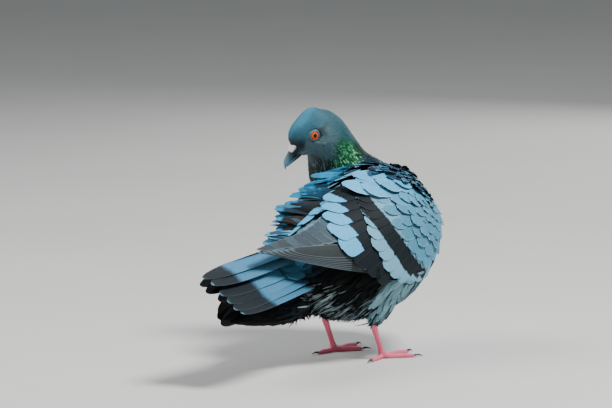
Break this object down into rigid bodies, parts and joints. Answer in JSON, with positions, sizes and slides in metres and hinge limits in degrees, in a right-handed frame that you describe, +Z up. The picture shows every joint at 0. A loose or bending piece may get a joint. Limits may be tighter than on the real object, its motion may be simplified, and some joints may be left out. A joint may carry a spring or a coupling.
{
  "type": "pigeon figure",
  "caption": "Life-size standing pigeon figure with its head turned back over its shoulder, wings folded and tail tented, resting on its own feet.",
  "frame": {"origin": "on the floor, under the middle of the bird's bounding box", "axes": "+X from tail to breast, +Y to the bird's left, +Z up"},
  "size_m": [0.2756, 0.1186, 0.1949],
  "materials": {
    "head_plumage": "short slate-blue feathers, matte",
    "neck_plumage": "dark green iridescent feathers",
    "body_plumage": "soft blue-grey feathers, matte",
    "wing_coverts": "pale blue-grey scale-like feathers with dark bars",
    "flight_feathers": "brown-grey flight feathers",
    "tail_feathers": "grey-blue feathers with a dark end band",
    "bare_leg": "pink scaled skin",
    "claw": "dark horn",
    "bill": "slate horn",
    "cere": "chalky white skin",
    "eye": "orange-red iris under a clear cornea"
  },
  "bodies": {
    "root": {"bill_lower": "bill", "bill_upper": "bill", "cere": "cere", "claw_left_hind": "claw", "claw_left_inner": "claw", "claw_left_middle": "claw", "claw_left_outer": "claw", "claw_right_hind": "claw", "claw_right_inner": "claw", "claw_right_middle": "claw", "claw_right_outer": "claw", "eye_left": "eye", "eye_right": "eye", "foot_left": "bare_leg", "foot_right": "bare_leg", "head": "head_plumage", "neck_lower": "neck_plumage", "neck_upper": "neck_plumage", "scapulars_left": "body_plumage", "tail_left": "tail_feathers", "tail_right": "tail_feathers", "tarsus_left": "bare_leg", "tarsus_right": "bare_leg", "tertials_left": "flight_feathers", "thigh_left": "body_plumage", "thigh_right": "body_plumage", "trunk": "body_plumage", "undertail": "body_plumage", "wing_left_coverts": "wing_coverts", "wing_left_primaries": "flight_feathers", "wing_left_secondaries": "flight_feathers", "wing_right_coverts": "wing_coverts", "wing_right_primaries": "flight_feathers", "wing_right_secondaries": "flight_feathers"}
  },
  "joints": []
}
